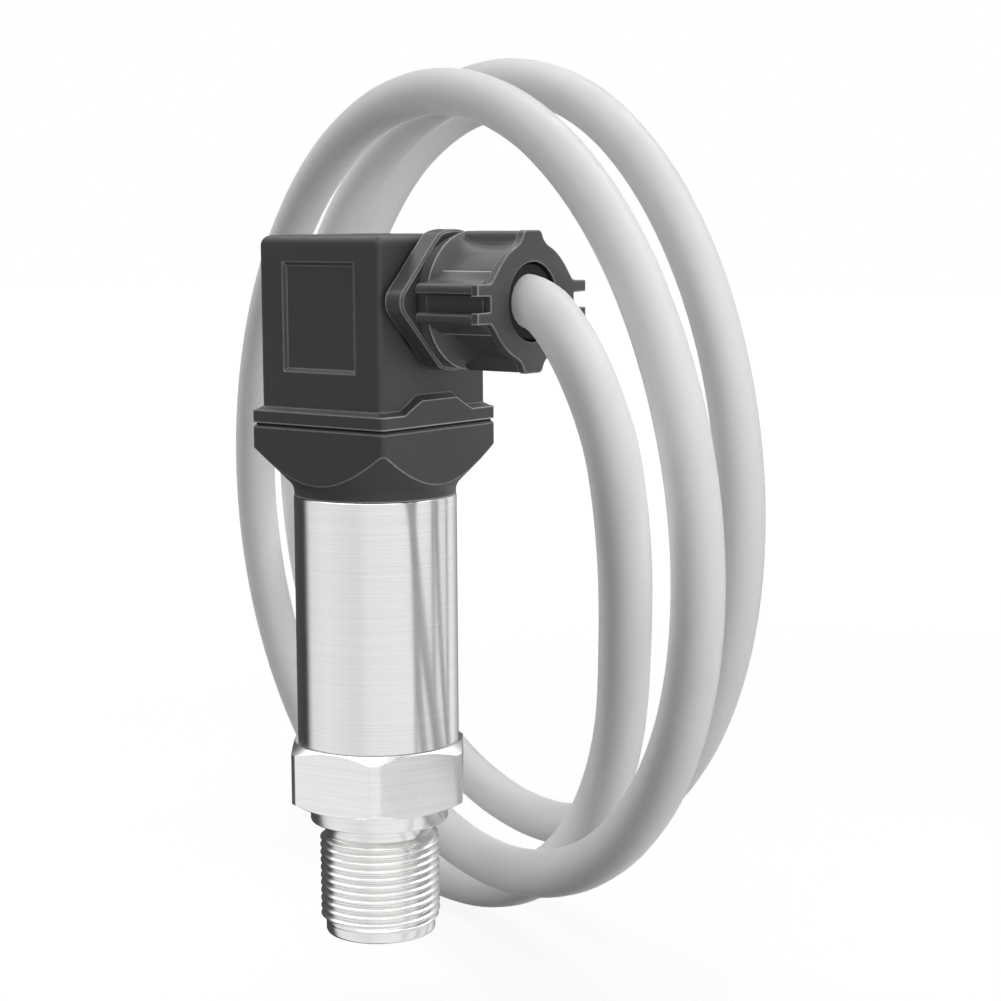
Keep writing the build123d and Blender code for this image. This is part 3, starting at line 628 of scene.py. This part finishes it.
# The plate's edge round a rib and on to the middle between the ribs
PLATE_RIB = [(10.5, 3.05), (13.7, 3.0), (13.7, 1.25), (10.6, 1.15), (10.6, 0.0)]
RIB_END = NUT_PLATE + 0.1
RIB_SECTION = [(8.4, 4.9), (9.3, 4.2), (10.0, 3.65), (10.6, 3.3), (11.3, 3.15), (12.6, 3.1), (13.1, 2.95),
               (13.4, 2.6), (13.5, 2.1), (13.4, 1.65), (13.0, 1.35), (12.4, 1.25), (10.9, 1.2)]
# Radius of the nut's body behind the plate, away from the lobes
NUT_BODY = [(20.5, 10.88), (20.62, 10.7), (20.8, 10.5), (21.0, 10.32), (21.2, 10.17), (21.4, 10.02),
            (21.8, 9.8), (22.3, 9.6), (23.0, 9.4), (24.0, 9.2), (25.0, 9.08), (26.0, 9.02), (27.0, 9.0)]
SKIRT_END = (20.3, 10.82)  # x and radius where the skirt, flared from the back, meets its rounded rim
NUT_BACK_CHAMFER = 0.12
LOBE_INSET = 0.15          # of the lobes' backs from the plate's edge
LOBE_SHOULDER = 0.5        # further inset of the lobes' flanks
LOBE_FLANK = (10.0, 12.0)  # degrees: where the flank starts from the lobe's middle, and its width
LOBE_START = (20.85, 0.5)  # x where the lobes rise from the skirt, and the length of the rise
FLARE_STEPS = 9
FLARE_START = 27.0
FLARE_END = NUT_PLATE + 0.05
FLARE_POWER = 1.8          # the body flares out to the plate late
PLATE_STEP = 0.35          # by how much the plate's edge stands out from the body
PLATE_ROUND = 0.13
RIB_ROUND = 0.28
LIP_ROUND = 0.2
NUT_STEPS = 360
MOUTH_STEPS = 96
LIP_STEPS = 72


def smooth(value):
    """Eased 0 to 1."""
    part = min(max(value, 0.0), 1.0)
    return part * part * (3 - 2 * part)


def plate_reach(angle):
    """The plate's radius at an angle from the middle of a lobe, with the ribs left out."""
    quarter = math.pi / 2
    turned = angle % math.pi
    turned = min(turned, math.pi - turned)
    before = (0.0, math.hypot(*PLATE_EDGE[0]))
    for y, z in PLATE_EDGE[1:]:
        here = (min(math.atan2(y, z), quarter), math.hypot(y, z))
        if turned <= here[0]:
            part = (turned - before[0]) / (here[0] - before[0])
            return before[1] + (here[1] - before[1]) * part
        before = here
    return before[1]


def nut_profile(angle):
    """The nut's skin at one angle from the middle of a lobe, as (x, radius), from its back to the mouth."""
    reach = plate_reach(angle)
    turned = math.degrees(min(angle % math.pi, math.pi - angle % math.pi))
    lobe = reach - LOBE_INSET - LOBE_SHOULDER * smooth((turned - LOBE_FLANK[0]) / LOBE_FLANK[1])
    profile = [(NUT_BACK, NUT_BACK_R - NUT_BACK_CHAMFER), (NUT_BACK + NUT_BACK_CHAMFER, NUT_BACK_R),
               SKIRT_END]
    for x, radius in NUT_BODY:
        raised = smooth((x - LOBE_START[0]) / LOBE_START[1]) * max(0.0, lobe - radius)
        profile.append((x, radius + raised))
    core = profile[-1][1]
    for step in range(1, FLARE_STEPS + 1):
        part = step / FLARE_STEPS
        grown = part ** FLARE_POWER
        profile.append((FLARE_START + (FLARE_END - FLARE_START) * part,
                        core * (1 - grown) + max(reach - PLATE_STEP, core) * grown))
    profile += [(FLARE_END, NUT_MOUTH_R), (NUT_FRONT - NUT_WEB, NUT_MOUTH_R),
                (NUT_FRONT - NUT_WEB, NUT_BORE_R), (NUT_BACK, NUT_BORE_R), profile[0]]
    return profile


def nut_columns():
    columns = []
    for i in range(NUT_STEPS):
        angle = 2 * math.pi * i / NUT_STEPS
        columns.append([(x, r * math.sin(angle), GLAND_Z + r * math.cos(angle))
                        for x, r in nut_profile(angle)])
    return columns_mesh(columns)


def slab(outlines, back, front, edge):
    """Points and faces of closed (y, z) outlines about the gland's axis, pulled along x, with rounded edges.
    An outline inside another is a hole."""
    curve = bpy.data.curves.new("slab", "CURVE")
    curve.dimensions = "2D"
    curve.fill_mode = "BOTH"
    curve.extrude = (front - back) / 2 - edge
    curve.bevel_depth = edge
    curve.bevel_resolution = 2
    curve.offset = -edge
    for outline in outlines:
        line = curve.splines.new("POLY")
        line.points.add(len(outline) - 1)
        for point, (y, z) in zip(line.points, outline):
            point.co = (y, z, 0, 1)
        line.use_cyclic_u = True
    piece = bpy.data.objects.new("slab", curve)
    mesh = bpy.data.meshes.new_from_object(piece)
    middle = (back + front) / 2
    points = [(middle + v.co.z, v.co.x, GLAND_Z + v.co.y) for v in mesh.vertices]
    faces = [tuple(face.vertices) for face in mesh.polygons]
    bpy.data.objects.remove(piece)
    bpy.data.meshes.remove(mesh)
    bpy.data.curves.remove(curve)
    return points, faces


def mirrored(quarter):
    """A closed outline from the quarter that runs from the middle of a lobe to the middle of a side."""
    half = quarter + [(y, -z) for y, z in reversed(quarter) if z > 0]
    return half + [(-y, z) for y, z in reversed(half) if y > 0]


def nut():
    above_rib = [(y, z) for y, z in PLATE_EDGE if z > PLATE_RIB[0][1]]
    outline = mirrored(above_rib + PLATE_RIB)
    mouth = circle(NUT_MOUTH_R, MOUTH_STEPS)
    ribs = RIB_SECTION + [(y, -z) for y, z in reversed(RIB_SECTION)]
    shapes = [("nut_body", nut_columns(), 40.0),
              ("nut_plate", slab([outline, mouth], NUT_PLATE, NUT_FRONT, PLATE_ROUND), 30.0)]
    for name, side in (("nut_ribs_front", -1), ("nut_ribs_back", 1)):
        section = [(side * y, z) for y, z in ribs]
        shapes.append((name, slab([section], RIB_BACK, RIB_END, RIB_ROUND), 35.0))
    for name, shape, sharp in shapes:
        piece = made(name, *shape, NUT_BLACK, "black_gland", "gland_nut", sharp=sharp)
        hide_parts("gland_nut")


def seal_lip():
    """The rubber seal's lip, which fills the mouth of the nut nearly to its front."""
    rings = [circle(LIP_R, LIP_STEPS), circle(CABLE_R + LIP_CLEARANCE, LIP_STEPS)]
    made("seal_lip", *slab(rings, LIP_BACK, LIP_FRONT, LIP_ROUND), RUBBER, "black_rubber", sharp=30.0)


# Rounded edges on the solids' own shapes

def rounded_nodes():
    for name, width in EDGE_ROUND.items():
        round_edges(nodes[name], width, 2, EDGE_ROUND_ANGLE)


# Floor, world, lamps and camera. Lengths here are in metres.

FLOOR_HALF = 3.0
FLOOR_GAP = 0.0005         # between the part's lowest point and the floor
FLOOR_COLOUR = 0.9
FLOOR_GLOW = 1.06          # what the camera sees of the floor, apart from its shade
FLOOR_SHADE = 0.20         # share of the floor's colour that takes shadows, near the part
SHADE_NEAR = 0.25          # distance from the origin at which that share starts to fall
SHADE_FAR = 0.70           # and at which it is gone
FLOOR_BOUNCE = 0.18        # the floor's grey for the light that it throws back

# Brightness that a polished surface sees round the horizon, in greys, at parts of a turn from +Y through -X
SURROUND = [(0.00, 0.80), (0.10, 0.10), (0.28, 0.05), (0.315, 0.86), (0.40, 0.95), (0.54, 0.84), (0.58, 0.95),
            (0.757, 1.00), (0.768, 0.30), (0.781, 1.00), (0.845, 0.94), (0.857, 0.22), (0.872, 0.90),
            (0.933, 0.90), (0.945, 0.20), (0.958, 0.95)]
OVERHEAD = 3.6             # brightness of what a polished surface sees above it
OVERHEAD_BAND = [(0.50, 0.0), (0.68, 0.85), (0.82, 1.0), (0.92, 0.25)]   # its share, by height
AMBIENT = 0.17             # even light on everything

LAMP_SIZE = 0.5
LAMP_AIM = (0.0, 0.0, 0.07)
# Place, share of full brightness, and whether the lamp casts shadows
LAMPS = {
    "key": ((0.80, -0.01, 0.20), 0.88, False),
    "left": ((-0.80, -0.06, 0.20), 0.50, False),
    "front": ((-0.25, -0.80, 0.12), 0.12, False),
    "top": ((0.00, -0.05, 0.85), 0.52, True),
}


def mixed(tree, share, first, second):
    """Two shaders, of which the second counts by the share."""
    node = tree.nodes.new("ShaderNodeMixShader")
    tree.links.new(share, node.inputs["Fac"])
    tree.links.new(first, node.inputs[1])
    tree.links.new(second, node.inputs[2])
    return node.outputs[0]


def floor():
    """A pale floor: the camera sees it white with the object's shadow, and it throws little light back."""
    s = Shader("floor_white")
    s.surface.inputs["Base Color"].default_value = (FLOOR_COLOUR, FLOOR_COLOUR, FLOOR_COLOUR, 1)
    s.surface.inputs["Roughness"].default_value = 0.8
    new = s.tree.nodes.new
    glow = new("ShaderNodeEmission")
    glow.inputs["Color"].default_value = (1.0, 1.0, 1.0, 1)
    glow.inputs["Strength"].default_value = FLOOR_GLOW
    far = new("ShaderNodeVectorMath")
    far.operation = "LENGTH"
    s.link(s.place, far.inputs[0])
    shade = s.span(far.outputs["Value"], FLOOR_SHADE, 0.0, start=SHADE_NEAR, end=SHADE_FAR)
    seen = mixed(s.tree, shade, glow.outputs[0], s.surface.outputs[0])
    dim = new("ShaderNodeBsdfDiffuse")
    dim.inputs["Color"].default_value = (FLOOR_BOUNCE, FLOOR_BOUNCE, FLOOR_BOUNCE, 1)
    rays = new("ShaderNodeLightPath")
    both = mixed(s.tree, rays.outputs["Is Camera Ray"], dim.outputs[0], seen)
    s.link(both, s.tree.nodes["Material Output"].inputs["Surface"])
    size, low = FLOOR_HALF, cad_low.z - FLOOR_GAP
    mesh = bpy.data.meshes.new("floor")
    mesh.from_pydata([(-size, -size, low), (size, -size, low), (size, size, low), (-size, size, low)], [],
                     [(0, 1, 2, 3)])
    mesh.materials.append(s.material)
    piece = bpy.data.objects.new("floor", mesh)
    bpy.context.scene.collection.objects.link(piece)
    piece.visible_glossy = False


def grey_ramp(tree, value, stops):
    """value becomes a grey, by stops of (place, grey)."""
    node = tree.nodes.new("ShaderNodeValToRGB")
    elements = node.color_ramp.elements
    for index, (where, grey) in enumerate(stops):
        stop = elements[index] if index < 2 else elements.new(where)
        stop.position = where
        stop.color = (grey, grey, grey, 1)
    tree.links.new(value, node.inputs["Fac"])
    return node.outputs["Color"]


def background(tree, grey=1.0, strength=1.0):
    node = tree.nodes.new("ShaderNodeBackground")
    node.inputs["Color"].default_value = (grey, grey, grey, 1)
    node.inputs["Strength"].default_value = strength
    return node


def world():
    """White to the camera, an even dim light to matt surfaces, and a studio to polished ones."""
    made_world = bpy.data.worlds.new("studio")
    bpy.context.scene.world = made_world
    made_world.use_nodes = True
    tree = made_world.node_tree
    tree.nodes.clear()
    new, link = tree.nodes.new, tree.links.new
    place = new("ShaderNodeTexCoord")
    split = new("ShaderNodeSeparateXYZ")
    link(place.outputs["Generated"], split.inputs[0])
    away = new("ShaderNodeMath")
    away.operation = "MULTIPLY"
    away.inputs[1].default_value = -1.0
    link(split.outputs["Y"], away.inputs[0])
    around = new("ShaderNodeMath")
    around.operation = "ARCTAN2"
    link(split.outputs["X"], around.inputs[0])
    link(away.outputs[0], around.inputs[1])
    turn = new("ShaderNodeMapRange")
    turn.inputs["From Min"].default_value = -math.pi
    turn.inputs["From Max"].default_value = math.pi
    link(around.outputs[0], turn.inputs["Value"])
    horizon = background(tree)
    link(grey_ramp(tree, turn.outputs["Result"], SURROUND), horizon.inputs["Color"])
    above = grey_ramp(tree, split.outputs["Z"], OVERHEAD_BAND)
    studio = mixed(tree, above, horizon.outputs[0], background(tree, strength=OVERHEAD).outputs[0])
    rays = new("ShaderNodeLightPath")
    lit = mixed(tree, rays.outputs["Is Glossy Ray"], background(tree, AMBIENT).outputs[0], studio)
    clear = new("ShaderNodeMath")
    clear.operation = "MAXIMUM"
    link(rays.outputs["Is Camera Ray"], clear.inputs[0])
    link(rays.outputs["Is Transmission Ray"], clear.inputs[1])
    last = mixed(tree, clear.outputs[0], lit, background(tree).outputs[0])
    link(last, new("ShaderNodeOutputWorld").inputs["Surface"])


def lamp(name, place, share, shadow):
    """A soft square lamp that shows in no reflection. share is the brightness it gives a white surface
    that faces it at the aim."""
    data = bpy.data.lights.new(name, "AREA")
    data.size = LAMP_SIZE
    distance = (Vector(place) - Vector(LAMP_AIM)).length
    data.energy = share * math.pi ** 2 * distance ** 2
    data.use_shadow = shadow
    item = bpy.data.objects.new(name, data)
    item.location = place
    item.visible_glossy = False
    item.rotation_mode = "QUATERNION"
    item.rotation_quaternion = (Vector(LAMP_AIM) - Vector(place)).to_track_quat("-Z", "Y")
    bpy.context.scene.collection.objects.link(item)


def camera():
    """The photograph's camera."""
    data = bpy.data.cameras.new("camera")
    data.sensor_width = 36.0
    data.lens = CAMERA_LENS
    data.clip_start = 0.01
    data.clip_end = 20.0
    item = bpy.data.objects.new("camera", data)
    turn = (Matrix.Rotation(math.radians(CAMERA_YAW), 4, "Z")
            @ Matrix.Rotation(math.radians(90 - CAMERA_PITCH), 4, "X")
            @ Matrix.Rotation(math.radians(CAMERA_ROLL), 4, "Z"))
    item.matrix_world = Matrix.Translation(Vector(CAMERA_PLACE) * MM) @ turn
    bpy.context.scene.collection.objects.link(item)
    bpy.context.scene.camera = item


# The scene

dress_nodes()
cable()
fitting()
sleeve()
nut()
seal_lip()
rounded_nodes()
floor()
world()
for lamp_name, lamp_values in LAMPS.items():
    lamp(lamp_name, *lamp_values)
camera()
bpy.context.scene.view_settings.view_transform = "Standard"
